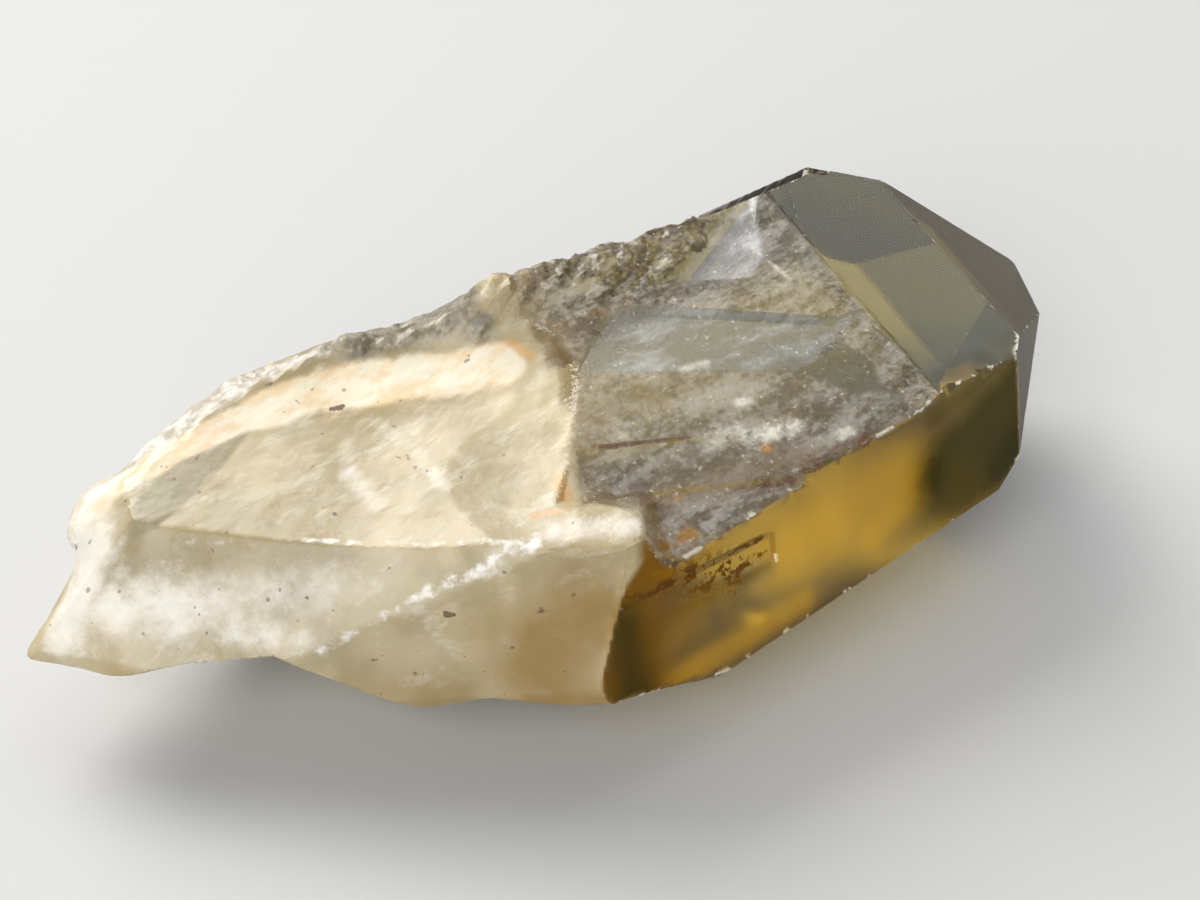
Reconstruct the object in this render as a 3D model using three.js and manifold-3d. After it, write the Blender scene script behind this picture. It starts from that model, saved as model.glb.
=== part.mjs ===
// A citrine crystal: a clear smoky-golden quartz prism with its pointed end to +X and a broken milky root to -X.
// Millimetres, +Z up. The stone lies on its side, the crystal's long axis along X, and rests on a flat broken face.
// The solid is a six-sided prism with a six-sided point, joined to a blocky root, then broken along flat and
// shell-shaped breaks. Every face and break is named by where it lies on the stone.
// The tables below place everything before the last step, which moves the stone so that FOOT is the origin.
import * as THREE from "three";
import Module from "manifold-3d";

const wasm = await Module();
wasm.setup();

// ---------------------------------------------------------------- the crystal
const FOOT = [-9.93, -13.96, 1.5]; // middle of the finished stone's footprint, which becomes the origin
const AXIS_Y = -15.7; // the long axis of the crystal, seen from the end
const AXIS_Z = 13.9;
const POINT_TILT = 51.8; // degrees between the long axis and the way a point face looks, as in all quartz
const BLOCK = 260; // a block much larger than the stone, used for its flat side
const ROUGH = 110; // the rough block that the stone is cut from

// The prism's sides: turn about the long axis (0 = looking up, 90 = looking front), distance from the axis.
const SIDES = {
  top: [18, 10.1],
  front: [78, 13.9],
  bottom: [198, 10.4],
  back: [258, 14.0],
  topBack: [318, 13.9],
};

// The point's faces: turn as above, and where each would meet the long axis.
const POINT = {
  top: [18, 30.0],
  front: [78, 33.5],
  underFront: [138, 29.8],
  bottom: [198, 32.0],
  back: [258, 33.6],
  topBack: [324, 32.6],
};

// From here on a flat face is [x, y, z of a point on it, compass direction it looks (0 = +X, 90 = +Y),
// degrees it looks up].
const UNDER_FRONT = [-6.8, -31.2, 8.0, -81.5, -47.7];
const RESTING = [-12.0, -14.0, 1.5, 0, -90];

// A thicker part of the top back side near the point, and the small face that cuts its corner.
const STEP_SIDE = [318, 14.45];
const STEP_START = [12.2, -8.6, 26.4, 190, 15];
const STEP_CORNER = [14.4, -9.7, 26.5, 39, 49];

// ---------------------------------------------------------------- the root
const ROOT = {
  lowerFront: [-37.5, -18.2, 12.0, -139.8, 40.1],
  belly: [-32.0, -23.8, 9.0, -128.9, 23.0],
  lobe: [-22.8, -30.2, 11.3, -126, -8],
  crown: [-31.3, -2.6, 21.5, 150.5, 70.5],
  left: [-44.4, -4.9, 15.9, 170, 47],
  lip: [-48.8, -5.9, 11.8, -139.7, 22],
  underLip: [-50.5, -5.0, 10.0, -144, -52],
  underBelly: [-32.0, -23.8, 9.0, -122, -50],
  underLobe: [-24.1, -28.8, 8.5, -108, -50],
};
const ROOT_REAR = {
  backTop: [-24.6, -1.7, 23.2, 81.5, 39.5],
  back: [-25.0, 2.9, 16.0, 97, 8],
  backLow: [-30.0, 3.0, 11.0, 84, -14],
  underBack: [-34.0, 1.6, 7.0, 110, -42],
};
const ROOT_END = [-14.0, -4.0, 20.0, 30, 8];

// The rough ridge along the top back edge stands a little above the prism.
const RIDGE = {
  topLeft: [-17.6, -7.3, 27.1, 165, 83],
  topRight: [-9.0, -7.5, 27.8, -20, 86],
  front: [-10.0, -9.6, 25.6, -103, 25],
  back: [-9.0, -8.0, 27.4, 82, 38],
  under: [-9.0, -8.0, 22.0, 0, -90],
  left: [-19.0, -7.0, 26.0, 180, 20],
  right: [7.5, -9.2, 26.0, 0, 30],
};

// ---------------------------------------------------------------- the breaks
// The broken top of the prism, between its upright step and the milky root.
const TOP_BREAK = [-5.0, -28.9, 18.9, -101.2, 71.6];
const TOP_STEP = [8.25, -17.4, 23.93, -134.7, 65.4];
const RIDGE_FRONT = [-10.0, -9.6, 25.2, -103, 25];
const SILVER_BACK = [2.5, -10.3, 25.3, -75, 30];
const FRONT_HALF = [-4.0, -13.6, 22.0, -97, 0];
const ROOT_EDGE = [-13.9, -11.0, 22.0, 0, 5];
const ROOT_CORNER = [-15.4, -17.1, 21.0, -24, 5];
const ROOT_BAY = [-18.5, -21.6, 20.4, -54, 5];
const TONGUE_BACK = [-15.9, -26.6, 21.0, 48, 10];
const TONGUE_END = [-16.6, -27.7, 20.7, -34, 10];

// The basin in the root's top, and the walls that rise from it to the rim.
const BASIN_FLOOR = [-21.1, -24.6, 20.4, -158, 77.7];
const BASIN_BACK = [-19.0, -12.1, 21.85, -130, 41];
const BASIN_LEFT = [-38.6, -6.0, 18.4, -105, 60];

const reversed = ([x, y, z, compass, up]) => [x, y, z, compass + 180, -up];

// What each break takes away lies outside all of the faces listed for it.
const BREAKS = {
  topByRidge: [TOP_BREAK, TOP_STEP, ROOT_EDGE, RIDGE_FRONT],
  topBySilver: [TOP_BREAK, TOP_STEP, ROOT_EDGE, SILVER_BACK],
  topByCorner: [TOP_BREAK, TOP_STEP, ROOT_CORNER, TONGUE_BACK, FRONT_HALF],
  topByBay: [TOP_BREAK, TOP_STEP, ROOT_BAY, TONGUE_BACK, FRONT_HALF],
  topByTongue: [TOP_BREAK, TOP_STEP, TONGUE_END, FRONT_HALF],
  topBand: [
    [-10.2, -16.0, 22.78, -93.5, 77.0],
    [-5.8, -11.9, 24.4, -118, 35],
    [6.9, -20.6, 22.4, 109, 14],
    [-7.6, -11.6, 24.4, -67, 10],
    [6.2, -20.0, 22.6, 200, 20],
  ],
  topFirstLedge: [[-14.6, -20.1, 20.69, -108.3, 71.0], [-14.6, -20.1, 21.1, -110, 30], ROOT_CORNER, TONGUE_END],
  topSecondLedge: [[-14.2, -23.2, 19.5, -107, 71.0], [-14.2, -23.2, 20.2, -113, 30], TONGUE_END],
  frontEdge: [[-2.0, -28.75, 19.1, -95, 42], [5.2, -28.6, 19.6, 190, 30], TONGUE_END],
  silverFace: [
    [5.0, -15.5, 24.2, -121, 76.5],
    [6.2, -12.0, 25.6, 172, 30],
    [1.5, -13.6, 24.4, 60, 20],
    SILVER_BACK,
  ],
  basin: [BASIN_FLOOR, BASIN_BACK, BASIN_LEFT, reversed(ROOT_EDGE), reversed(ROOT_CORNER)],
  tongueTop: [BASIN_FLOOR, reversed(TONGUE_END), [-20.0, -20.5, 21.0, -60, 0]],
  leftNotch: [[-44.5, -0.8, 14.0, 172, 5], [-46.0, -3.0, 14.2, 108, 5]],
  frontBand: [
    [-12.0, -29.35, 15.0, -90, 12],
    [-12.0, -29.5, 16.2, -88, -70],
    [-12.0, -29.9, 13.6, -90, 60],
    [-19.6, -29.5, 15.0, 10, 20],
    [-7.0, -29.5, 15.0, 170, 20],
  ],
  waist: [[-46.6, -9.8, 10.1, -115, -50], [-37.5, -18.2, 12.0, -161, -48]],
  bellyDip: [[-27.8, -26.6, 10.1, -107, -52], [-27.8, -26.6, 10.1, -136, -50]],
};

// A shell-shaped hollow is [x, y, z of the middle of its rim plane, compass and up of the way it opens,
// length, width, depth, turn of its length from level].
const HOLLOWS = {
  basinDish: [-26.0, -14.0, 20.3, -158, 77.7, 32, 15, 0.55, 41],
  crownDip: [-21.6, -3.9, 25.2, 60, 60, 10, 16, 1.45, 0],
  rearShell: [-34.5, 2.2, 12.5, 104, 2, 21, 13, 1.3, 18],
  rearShellLow: [-24.5, 2.6, 7.5, 84, -22, 27, 15, 1.7, -12],
  underShell: [-36.0, -9.0, 4.6, -150, -66, 20, 15, 1.2, 30],
};

// Tiny nicks along the sharp edges, written as the hollows are.
const NICKS = {
  pointCorner: [15.9, -28.6, 20.5, -60, 40, 1.6, 1.0, 0.3, 20],
  frontEdgeLow: [5.2, -28.8, 20.1, -80, 45, 1.8, 0.9, 0.3, 0],
  frontEdgeMid: [9.4, -28.6, 20.3, -90, 45, 1.3, 0.7, 0.25, 0],
  frontEdgeHigh: [12.9, -28.6, 20.4, -95, 45, 1.5, 0.8, 0.25, 10],
  pointEdge: [17.3, -16.0, 24.5, -20, 60, 1.4, 0.7, 0.2, 90],
  topCorner: [13.6, -9.3, 26.6, 60, 60, 1.8, 1.0, 0.3, 0],
};

// Rows of small chips that make the ridge and the crown rough: first chip, last chip, how many, way they open.
const CHIP_ROWS = {
  ridgeTop: { from: [-17.4, -7.6, 27.3], to: [6.0, -9.0, 26.9], count: 11, opens: [100, 72], size: 3.6 },
  ridgeFront: { from: [-17.0, -9.0, 26.2], to: [3.5, -10.4, 26.0], count: 10, opens: [-95, 42], size: 3.2 },
  crown: { from: [-39.0, -1.4, 19.7], to: [-22.0, -5.4, 24.4], count: 9, opens: [150, 76], size: 3.4 },
  crownBack: { from: [-37.0, 1.6, 19.2], to: [-22.5, -2.4, 23.9], count: 8, opens: [110, 55], size: 3.2 },
};

const CITRINE = { color: 0xa58a4e, roughness: 0.12, metalness: 0 };

// ---------------------------------------------------------------- helpers
const radians = THREE.MathUtils.degToRad;
const UP = new THREE.Vector3(0, 0, 1);

function looking(compass, up) {
  const a = radians(compass);
  const e = radians(up);
  return new THREE.Vector3(Math.cos(e) * Math.cos(a), Math.cos(e) * Math.sin(a), Math.sin(e));
}

function sideLooking(turn) {
  return new THREE.Vector3(0, -Math.sin(radians(turn)), Math.cos(radians(turn)));
}

function onAxis(x) {
  return new THREE.Vector3(x, AXIS_Y, AXIS_Z);
}

// A three.js shape as a solid that can be joined and cut: points at the same place become one point.
function solidOf(geometry) {
  const bare = geometry.index ? geometry.toNonIndexed() : geometry;
  const position = bare.attributes.position;
  const seen = new Map();
  const points = [];
  const corners = [];
  for (let i = 0; i < position.count; i++) {
    const p = [position.getX(i), position.getY(i), position.getZ(i)];
    const key = p.map((v) => Math.round(v * 1e4)).join();
    if (!seen.has(key)) {
      seen.set(key, seen.size);
      points.push(...p);
    }
    corners.push(seen.get(key));
  }
  const whole = [];
  for (let i = 0; i < corners.length; i += 3) {
    const [a, b, c] = corners.slice(i, i + 3);
    if (a !== b && b !== c && a !== c) whole.push(a, b, c);
  }
  const vertProperties = new Float32Array(points);
  const triVerts = new Uint32Array(whole);
  return new wasm.Manifold(new wasm.Mesh({ numProp: 3, vertProperties, triVerts }));
}

function roughBlock() {
  const block = new THREE.BoxGeometry(ROUGH, ROUGH, ROUGH);
  block.translate(...FOOT);
  return solidOf(block);
}

// The block of everything outside a flat face.
function outside(point, direction) {
  const block = new THREE.BoxGeometry(BLOCK, BLOCK, BLOCK);
  block.translate(0, 0, BLOCK / 2);
  block.applyQuaternion(new THREE.Quaternion().setFromUnitVectors(UP, direction));
  block.translate(point.x, point.y, point.z);
  return solidOf(block);
}

function outsideFace([x, y, z, compass, up]) {
  return outside(new THREE.Vector3(x, y, z), looking(compass, up));
}

function outsideSide([turn, distance]) {
  const direction = sideLooking(turn);
  return outside(onAxis(0).addScaledVector(direction, distance), direction);
}

function cutTo(solid, faces) {
  return faces.reduce((left, face) => left.subtract(outsideFace(face)), solid);
}

function breakAway(solid, faces) {
  const [first, ...rest] = faces.map(outsideFace);
  return solid.subtract(rest.reduce((region, next) => region.intersect(next), first));
}

// A long dished cutter: a stretched ball that reaches its depth below the rim plane and swells above it.
function dish([x, y, z, compass, up, length, width, depth, turn], slices) {
  const high = 4 * depth;
  const spread = 2 * Math.sqrt(1 - (1 - depth / high) ** 2);
  const ball = new THREE.SphereGeometry(1, slices, Math.round(slices * 0.8));
  ball.rotateX(Math.PI / 2);
  ball.scale(length / spread, width / spread, high);
  ball.translate(0, 0, high - depth);
  ball.rotateZ(radians(turn));
  const opens = looking(compass, up);
  const along = new THREE.Vector3(0, 0, 1).cross(opens).normalize();
  ball.applyMatrix4(new THREE.Matrix4().makeBasis(along, opens.clone().cross(along), opens));
  ball.translate(x, y, z);
  return solidOf(ball);
}

// The chips of one row: each is turned, tipped and sized a little differently from the last.
function chips({ from, to, count, opens, size }) {
  const row = [];
  for (let i = 0; i < count; i++) {
    const t = i / (count - 1);
    const [x, y, z] = from.map((a, k) => a + (to[k] - a) * t);
    const compass = opens[0] + 28 * Math.sin(2.4 * i);
    const up = opens[1] + 13 * Math.cos(1.7 * i);
    const length = size * (1 + 0.35 * Math.sin(1.9 * i + 1));
    const depth = 0.32 + 0.14 * Math.cos(2.9 * i);
    const turn = 90 - opens[0] + 25 * Math.sin(3.1 * i);
    row.push([x, y, z, compass, up, length, 0.42 * size, depth, turn]);
  }
  return row;
}

// ---------------------------------------------------------------- the stone
function prism(sides) {
  let solid = roughBlock();
  for (const side of Object.values(sides)) solid = solid.subtract(outsideSide(side));
  const tilt = radians(POINT_TILT);
  for (const [turn, reach] of Object.values(POINT)) {
    const direction = sideLooking(turn).multiplyScalar(Math.sin(tilt));
    direction.x = Math.cos(tilt);
    solid = solid.subtract(outside(onAxis(reach), direction));
  }
  return solid;
}

function thickerSide() {
  return cutTo(prism({ ...SIDES, topBack: STEP_SIDE }), [STEP_START]);
}

function root() {
  const solid = cutTo(roughBlock(), [...Object.values(ROOT), ...Object.values(ROOT_REAR), ROOT_END]);
  return solid.subtract(outsideSide(SIDES.top)).subtract(outsideSide(SIDES.front));
}

function ridge() {
  return cutTo(roughBlock(), Object.values(RIDGE));
}

function wholeStone() {
  const grown = prism(SIDES).add(thickerSide()).add(root()).add(ridge());
  return cutTo(grown, [UNDER_FRONT, STEP_CORNER, ...Object.values(ROOT)]);
}

function brokenStone() {
  let solid = wholeStone();
  for (const faces of Object.values(BREAKS)) solid = breakAway(solid, faces);
  for (const hollow of Object.values(HOLLOWS)) solid = solid.subtract(dish(hollow, 36));
  for (const nick of Object.values(NICKS)) solid = solid.subtract(dish(nick, 12));
  for (const row of Object.values(CHIP_ROWS)) {
    for (const chip of chips(row)) solid = solid.subtract(dish(chip, 14));
  }
  return cutTo(solid, [RESTING]).translate(FOOT.map((v) => -v));
}

function crystalMesh() {
  const { vertProperties, triVerts } = brokenStone().getMesh();
  const geometry = new THREE.BufferGeometry();
  geometry.setAttribute("position", new THREE.BufferAttribute(new Float32Array(vertProperties), 3));
  geometry.setIndex(new THREE.BufferAttribute(new Uint32Array(triVerts), 1));
  geometry.computeVertexNormals();
  const mesh = new THREE.Mesh(geometry, new THREE.MeshStandardMaterial(CITRINE));
  mesh.name = "citrine_crystal";
  return mesh;
}

const group = new THREE.Group();
group.add(crystalMesh());
export default group;
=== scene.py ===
"""Looks of the citrine crystal: clear smoky-golden quartz with its point to +X and a milky broken root to -X.

The stone's skin is one closed surface. It is worked out from the same flat faces, breaks, hollows and chips
as the solid, sampled along rays from a line inside the stone, and given the fine relief of broken quartz.
The tables are in millimetres, placed as the stone was drawn. FOOT moves it to the origin of the frame.
"""
import math
from types import SimpleNamespace

import bpy
import numpy as np
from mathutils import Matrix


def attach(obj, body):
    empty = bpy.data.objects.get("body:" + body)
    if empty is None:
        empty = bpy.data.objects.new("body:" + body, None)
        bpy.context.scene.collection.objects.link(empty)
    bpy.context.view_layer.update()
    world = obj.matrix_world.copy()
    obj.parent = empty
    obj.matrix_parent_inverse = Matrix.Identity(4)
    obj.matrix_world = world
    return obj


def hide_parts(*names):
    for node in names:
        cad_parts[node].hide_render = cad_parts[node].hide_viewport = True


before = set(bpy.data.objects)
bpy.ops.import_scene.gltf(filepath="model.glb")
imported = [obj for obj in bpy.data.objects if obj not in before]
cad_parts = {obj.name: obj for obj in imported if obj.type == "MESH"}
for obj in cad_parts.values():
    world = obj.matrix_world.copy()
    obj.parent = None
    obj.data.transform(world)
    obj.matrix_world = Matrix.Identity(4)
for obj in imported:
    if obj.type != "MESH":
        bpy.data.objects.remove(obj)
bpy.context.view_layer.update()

# ---------------------------------------------------------------- the crystal, as in the solid
MM = 0.001
FOOT = np.array([-9.93, -13.96, 1.5])
AXIS = np.array([0.0, -15.7, 13.9])
POINT_TILT = 51.8

# Sides of the prism: turn about the long axis (0 looks up, 90 looks front), distance from the axis.
SIDES = {
    "top": (18, 10.1),
    "front": (78, 13.9),
    "bottom": (198, 10.4),
    "back": (258, 14.0),
    "topBack": (318, 13.9),
}
# Faces of the point: turn as above, and where each meets the long axis.
POINT = {
    "top": (18, 30.0),
    "front": (78, 33.5),
    "underFront": (138, 29.8),
    "bottom": (198, 32.0),
    "back": (258, 33.6),
    "topBack": (324, 32.6),
}
# A flat face: x, y, z of a point on it, the bearing it looks along (0 is +X, 90 is +Y), degrees it looks up.
UNDER_FRONT = (-6.8, -31.2, 8.0, -81.5, -47.7)
RESTING = (-12.0, -14.0, 1.5, 0, -90)
STEP_SIDE = (318, 14.45)
STEP_START = (12.2, -8.6, 26.4, 190, 15)
STEP_CORNER = (14.4, -9.7, 26.5, 39, 49)
ROOT = {
    "lowerFront": (-37.5, -18.2, 12.0, -139.8, 40.1),
    "belly": (-32.0, -23.8, 9.0, -128.9, 23.0),
    "lobe": (-22.8, -30.2, 11.3, -126, -8),
    "crown": (-31.3, -2.6, 21.5, 150.5, 70.5),
    "left": (-44.4, -4.9, 15.9, 170, 47),
    "lip": (-48.8, -5.9, 11.8, -139.7, 22),
    "underLip": (-50.5, -5.0, 10.0, -144, -52),
    "underBelly": (-32.0, -23.8, 9.0, -122, -50),
    "underLobe": (-24.1, -28.8, 8.5, -108, -50),
}
ROOT_REAR = {
    "backTop": (-24.6, -1.7, 23.2, 81.5, 39.5),
    "back": (-25.0, 2.9, 16.0, 97, 8),
    "backLow": (-30.0, 3.0, 11.0, 84, -14),
    "underBack": (-34.0, 1.6, 7.0, 110, -42),
}
ROOT_END = (-14.0, -4.0, 20.0, 30, 8)
RIDGE = {
    "topLeft": (-17.6, -7.3, 27.1, 165, 83),
    "topRight": (-9.0, -7.5, 27.8, -20, 86),
    "front": (-10.0, -9.6, 25.6, -103, 25),
    "back": (-9.0, -8.0, 27.4, 82, 38),
    "under": (-9.0, -8.0, 22.0, 0, -90),
    "left": (-19.0, -7.0, 26.0, 180, 20),
    "right": (7.5, -9.2, 26.0, 0, 30),
}
TOP_BREAK = (-5.0, -28.9, 18.9, -101.2, 71.6)
TOP_STEP = (8.25, -17.4, 23.93, -134.7, 65.4)
RIDGE_FRONT = (-10.0, -9.6, 25.2, -103, 25)
SILVER_BACK = (2.5, -10.3, 25.3, -75, 30)
FRONT_HALF = (-4.0, -13.6, 22.0, -97, 0)
ROOT_EDGE = (-13.9, -11.0, 22.0, 0, 38)
ROOT_CORNER = (-15.4, -17.1, 21.0, -24, 38)
ROOT_BAY = (-18.5, -21.6, 20.4, -54, 30)
TONGUE_BACK = (-15.9, -26.6, 20.7, 48, 66)
TONGUE_END = (-16.6, -27.7, 20.5, -34, 30)
FIRST_LEDGE = ((-14.6, -20.1, 20.69, -108.3, 71.0), (-14.6, -20.1, 21.0, -110, 42))
SECOND_LEDGE = ((-14.2, -23.2, 19.5, -107, 71.0), (-14.2, -23.2, 20.1, -113, 42))
BASIN_FLOOR = (-21.1, -24.6, 20.4, -158, 77.7)
BASIN_BACK = (-19.0, -12.1, 21.85, -130, 41)
BASIN_LEFT = (-38.6, -6.0, 18.4, -105, 60)


def reversed_face(face):
    """The same face looking the other way."""
    x, y, z, compass, up = face
    return (x, y, z, compass + 180, -up)


# What each break takes away lies outside all of its faces.
BREAKS = {
    "topByRidge": (TOP_BREAK, TOP_STEP, ROOT_EDGE, RIDGE_FRONT),
    "topBySilver": (TOP_BREAK, TOP_STEP, ROOT_EDGE, SILVER_BACK),
    "topByCorner": (TOP_BREAK, TOP_STEP, ROOT_CORNER, TONGUE_BACK, FRONT_HALF),
    "topByBay": (TOP_BREAK, TOP_STEP, ROOT_BAY, TONGUE_BACK, FRONT_HALF),
    "topByTongue": (TOP_BREAK, TOP_STEP, TONGUE_END, FRONT_HALF),
    "topBand": (
        (-10.2, -16.0, 22.78, -93.5, 77.0),
        (-5.8, -11.9, 24.4, -118, 35),
        (6.9, -20.6, 22.3, 109, 50),
        (-7.6, -11.6, 24.0, -67, 42),
        (6.2, -20.0, 22.1, 225, 58),
    ),
    "topFirstLedge": FIRST_LEDGE + (TONGUE_END,),
    "topFirstLedgeByCorner": FIRST_LEDGE + (ROOT_CORNER, TONGUE_BACK),
    "topSecondLedge": SECOND_LEDGE + (TONGUE_END,),
    "topSecondLedgeByCorner": SECOND_LEDGE + (ROOT_CORNER, TONGUE_BACK),
    "frontEdge": ((-2.0, -28.75, 19.1, -95, 42), (5.2, -28.6, 19.6, 190, 30), TONGUE_END),
    "silverFace": (
        (5.0, -15.5, 24.2, -121, 76.5),
        (6.2, -12.0, 25.6, 172, 50),
        (1.5, -13.6, 24.4, 60, 62),
        SILVER_BACK,
    ),
    "basin": (BASIN_FLOOR, BASIN_BACK, BASIN_LEFT, reversed_face(ROOT_EDGE), reversed_face(ROOT_CORNER)),
    "tongueTop": (BASIN_FLOOR, reversed_face(TONGUE_END), (-20.0, -20.5, 21.0, -60, 0)),
    "leftNotch": ((-44.5, -0.8, 14.0, 172, 5), (-46.0, -3.0, 14.2, 108, 5)),
    "frontBand": (
        (-12.0, -29.35, 15.0, -90, 12),
        (-12.0, -29.5, 16.2, -88, -70),
        (-12.0, -29.9, 13.6, -90, 60),
        (-19.6, -29.5, 15.0, -38, 10),
        (-7.0, -29.5, 15.0, 218, 10),
    ),
    "waist": ((-46.6, -9.8, 10.1, -115, -50), (-37.5, -18.2, 12.0, -161, -48)),
    "bellyDip": ((-27.8, -26.6, 10.1, -107, -52), (-27.8, -26.6, 10.1, -136, -50)),
}
# A hollow: x, y, z of the middle of its rim, the way it opens, length, width, depth, turn of its length.
HOLLOWS = {
    "basinDish": (-26.0, -14.0, 20.3, -158, 77.7, 32, 15, 0.55, 41),
    "crownDip": (-21.6, -3.9, 25.2, 60, 60, 10, 16, 1.45, 0),
    "rearShell": (-34.5, 2.2, 12.5, 104, 2, 21, 13, 1.3, 18),
    "rearShellLow": (-24.5, 2.6, 7.5, 84, -22, 27, 15, 1.7, -12),
    "underShell": (-36.0, -9.0, 4.6, -150, -66, 20, 15, 1.2, 30),
    "pointCorner": (15.9, -28.6, 20.5, -60, 40, 1.6, 1.0, 0.3, 20),
    "frontEdgeLow": (5.2, -28.8, 20.1, -80, 45, 1.8, 0.9, 0.3, 0),
    "frontEdgeMid": (9.4, -28.6, 20.3, -90, 45, 1.3, 0.7, 0.25, 0),
    "frontEdgeHigh": (12.9, -28.6, 20.4, -95, 45, 1.5, 0.8, 0.25, 10),
    "pointEdge": (17.3, -16.0, 24.5, -20, 60, 1.4, 0.7, 0.2, 90),
    "topCorner": (13.6, -9.3, 26.6, 60, 60, 1.8, 1.0, 0.3, 0),
}
# Rows of chips: first, last, how many, way they open, length.
CHIP_ROWS = {
    "ridgeTop": ((-17.4, -7.6, 27.3), (6.0, -9.0, 26.9), 11, (100, 72), 3.6),
    "ridgeFront": ((-17.0, -9.0, 26.2), (3.5, -10.4, 26.0), 10, (-95, 42), 3.2),
    "crown": ((-39.0, -1.4, 19.7), (-22.0, -5.4, 24.4), 9, (150, 76), 3.4),
    "crownBack": ((-37.0, 1.6, 19.2), (-22.5, -2.4, 23.9), 8, (110, 55), 3.2),
}
# What every chip is by itself, and how far the chips of a row differ from it to either side.
CHIP_WIDTH = 0.42  # share of the length
CHIP_DEPTH = 0.32
TURNED, TIPPED, SPUN = 28, 13, 25  # degrees
LONGER, DEEPER = 0.35, 0.14  # share of the length, millimetres

# ---------------------------------------------------------------- the skin's grid
ROWS = 352  # from the root's tip to the crystal's point
ROUND = 280  # around the stone
# The line inside the stone that the rays start from: x, y, z, and the degrees it runs off the long axis.
SPINE = np.array([
    (-42.5, -5.0, 11.8, -15),
    (-30.0, -6.6, 11.6, -12),
    (-19.0, -8.2, 11.4, -8),
    (-8.0, -8.6, 11.5, -2),
    (6.0, -9.4, 12.0, -6),
    (21.0, -13.4, 13.2, -10),
])
# The starts move along it from this share of the rows on, over this share of them.
SPINE_FIRST, SPINE_SHARE = 0.05, 0.87
# How far the rays lean ahead, in degrees, at shares of the rows.
LEAN = np.array([(0, -89.7), (0.14, -24), (0.3, -6), (0.44, 12), (0.84, 26), (1, 89.7)])
VISIBLE_TURN = math.radians(125)  # the grid is finest around the front and the top
CROWDING = 0.45  # how much finer it is there
ROUNDING = 14  # rows to either side that a bend in those lines is rounded over
# A ray steps by this share of the distance, no farther ahead or back than this, until it is this near.
CAUTION, LONGEST_STEP, STEP_BACK, ARRIVED, MOST_STEPS = 0.98, 9, 0.3, 0.01, 60
GRAZING = 0.1  # the cosine under which a ray grazes a face
# How much the mean holds a cell's point, and its room past the cell's corners, as a share of a diagonal.
HELD, SPARE = 0.001, 0.3
LOOSE, MISSED = 0.12, 0.3  # how far off its four faces a cell's point is drawn to its neighbours, or given up
SHARP_FROM = math.radians(14)  # a bend sharper than this is shaded as an edge


# ---------------------------------------------------------------- flat faces and hollows as distances
def looking(compass, up):
    """The unit direction with that compass bearing and that rise, in degrees."""
    a, e = math.radians(compass), math.radians(up)
    return np.array([math.cos(e) * math.cos(a), math.cos(e) * math.sin(a), math.sin(e)])


def side_looking(turn):
    """The unit direction square to the long axis at that turn from up toward the front."""
    return np.array([0.0, -math.sin(math.radians(turn)), math.cos(math.radians(turn))])


def plane(face):
    """A flat face as (unit direction, distance from the origin along it)."""
    n = looking(face[3], face[4])
    return n, float(n @ np.array(face[:3]))


def side_plane(side):
    """A prism side as (unit direction, distance from the origin along it)."""
    n = side_looking(side[0])
    return n, float(n @ AXIS) + side[1]


def point_plane(face):
    """A point face: it leans POINT_TILT off the long axis and meets the axis at its reach."""
    turn, reach = face
    tilt = math.radians(POINT_TILT)
    n = side_looking(turn) * math.sin(tilt) + np.array([math.cos(tilt), 0, 0])
    return n, float(n @ (AXIS + np.array([reach, 0, 0])))


def chips(first, last, count, opens, size):
    """The chips of one row, each turned, tipped and sized a little differently by sines of its number."""
    row = []
    for i in range(count):
        x, y, z = np.array(first) + (np.array(last) - np.array(first)) * i / (count - 1)
        compass = opens[0] + TURNED * math.sin(2.4 * i)
        up = opens[1] + TIPPED * math.cos(1.7 * i)
        length = size * (1 + LONGER * math.sin(1.9 * i + 1))
        depth = CHIP_DEPTH + DEEPER * math.cos(2.9 * i)
        turn = 90 - opens[0] + SPUN * math.sin(3.1 * i)
        row.append((x, y, z, compass, up, length, CHIP_WIDTH * size, depth, turn))
    return row


def dish(hollow):
    """A stretched ball that reaches its depth below the rim: (centre, axes as rows, half sizes).

    It is four times as high as the hollow is deep, and at the rim it is as long and as wide as the hollow.
    """
    x, y, z, compass, up, length, width, depth, turn = hollow
    high = 4 * depth
    spread = 2 * math.sqrt(1 - (1 - depth / high) ** 2)
    n = looking(compass, up)
    along = np.cross([0, 0, 1], n)
    along /= np.linalg.norm(along)
    across = np.cross(n, along)
    c, s = math.cos(math.radians(turn)), math.sin(math.radians(turn))
    axes = np.array([along * c + across * s, across * c - along * s, n])
    return np.array([x, y, z]) + n * (high - depth), axes, np.array([length / spread, width / spread, high])


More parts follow.
